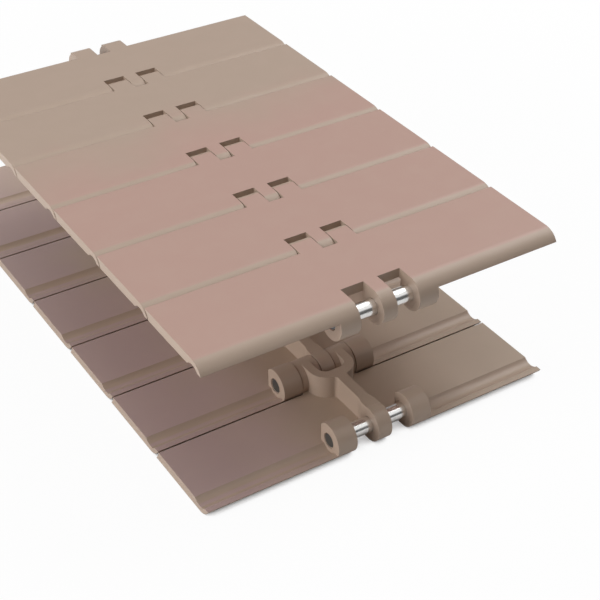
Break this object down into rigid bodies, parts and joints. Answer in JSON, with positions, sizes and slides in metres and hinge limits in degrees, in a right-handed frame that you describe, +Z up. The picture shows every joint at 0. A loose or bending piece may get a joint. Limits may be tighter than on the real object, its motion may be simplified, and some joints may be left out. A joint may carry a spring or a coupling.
{
  "type": "slat top chain",
  "caption": "Straight running slat top conveyor chain, moulded slats hinged on steel pins, as a carry strand above an inverted return strand.",
  "frame": {"origin": "under the middle of the longer strand, on the surface that the inverted return strand lies on", "axes": "+X across the chain, +Y along the chain away from the end with three knuckles, +Z up out of the carry strand's conveying surface"},
  "size_m": [0.1524, 0.2806, 0.069],
  "materials": {
    "acetal": "satin",
    "stainless": "polished"
  },
  "bodies": {
    "carry_link_1": {"carry_slat_1": "acetal", "carry_pin_1": "stainless"},
    "carry_link_2": {"carry_slat_2": "acetal", "carry_pin_2": "stainless"},
    "carry_link_3": {"carry_slat_3": "acetal", "carry_pin_3": "stainless"},
    "carry_link_4": {"carry_slat_4": "acetal", "carry_pin_4": "stainless"},
    "carry_link_5": {"carry_slat_5": "acetal", "carry_pin_5": "stainless"},
    "carry_link_6": {"carry_slat_6": "acetal", "carry_pin_6": "stainless"},
    "return_link_1": {"return_slat_1": "acetal", "return_pin_1": "stainless"},
    "return_link_2": {"return_slat_2": "acetal", "return_pin_2": "stainless"},
    "return_link_3": {"return_slat_3": "acetal", "return_pin_3": "stainless"},
    "return_link_4": {"return_slat_4": "acetal", "return_pin_4": "stainless"},
    "return_link_5": {"return_slat_5": "acetal", "return_pin_5": "stainless"},
    "return_link_6": {"return_slat_6": "acetal", "return_pin_6": "stainless"},
    "return_link_7": {"return_slat_7": "acetal", "return_pin_7": "stainless"}
  },
  "joints": [
    {"name": "return_hinge_4", "type": "hinge", "parent": "return_link_4", "child": "return_link_3", "pos_m": [0, -0.0189, 0.0071], "axis": [-1, 0, 0], "range_deg": [-24, 19]},
    {"name": "return_hinge_3", "type": "hinge", "parent": "return_link_3", "child": "return_link_2", "pos_m": [0, -0.057, 0.0071], "axis": [-1, 0, 0], "range_deg": [-24, 30]},
    {"name": "return_hinge_2", "type": "hinge", "parent": "return_link_2", "child": "return_link_1", "pos_m": [0, -0.0951, 0.0071], "axis": [-1, 0, 0], "range_deg": [-24, 45]},
    {"name": "return_hinge_5", "type": "hinge", "parent": "return_link_4", "child": "return_link_5", "pos_m": [0, 0.0192, 0.0071], "axis": [1, 0, 0], "range_deg": [-24, 19]},
    {"name": "return_hinge_6", "type": "hinge", "parent": "return_link_5", "child": "return_link_6", "pos_m": [0, 0.0573, 0.0071], "axis": [1, 0, 0], "range_deg": [-24, 30]},
    {"name": "return_hinge_7", "type": "hinge", "parent": "return_link_6", "child": "return_link_7", "pos_m": [0, 0.0954, 0.0071], "axis": [1, 0, 0], "range_deg": [-24, 45]},
    {"name": "carry_hinge_4", "type": "hinge", "parent": "carry_link_4", "child": "carry_link_3", "pos_m": [0, -0.0189, 0.0619], "axis": [1, 0, 0], "range_deg": [-24, 19]},
    {"name": "carry_hinge_3", "type": "hinge", "parent": "carry_link_3", "child": "carry_link_2", "pos_m": [0, -0.057, 0.0619], "axis": [1, 0, 0], "range_deg": [-24, 30]},
    {"name": "carry_hinge_2", "type": "hinge", "parent": "carry_link_2", "child": "carry_link_1", "pos_m": [0, -0.0951, 0.0619], "axis": [1, 0, 0], "range_deg": [-24, 45]},
    {"name": "carry_hinge_5", "type": "hinge", "parent": "carry_link_4", "child": "carry_link_5", "pos_m": [0, 0.0192, 0.0619], "axis": [-1, 0, 0], "range_deg": [-24, 30]},
    {"name": "carry_hinge_6", "type": "hinge", "parent": "carry_link_5", "child": "carry_link_6", "pos_m": [0, 0.0573, 0.0619], "axis": [-1, 0, 0], "range_deg": [-24, 45]},
    {"name": "carry_lift", "type": "slide", "parent": "return_link_4", "child": "carry_link_4", "axis": [0, 0, 1], "range_m": [0, 0.15]}
  ]
}
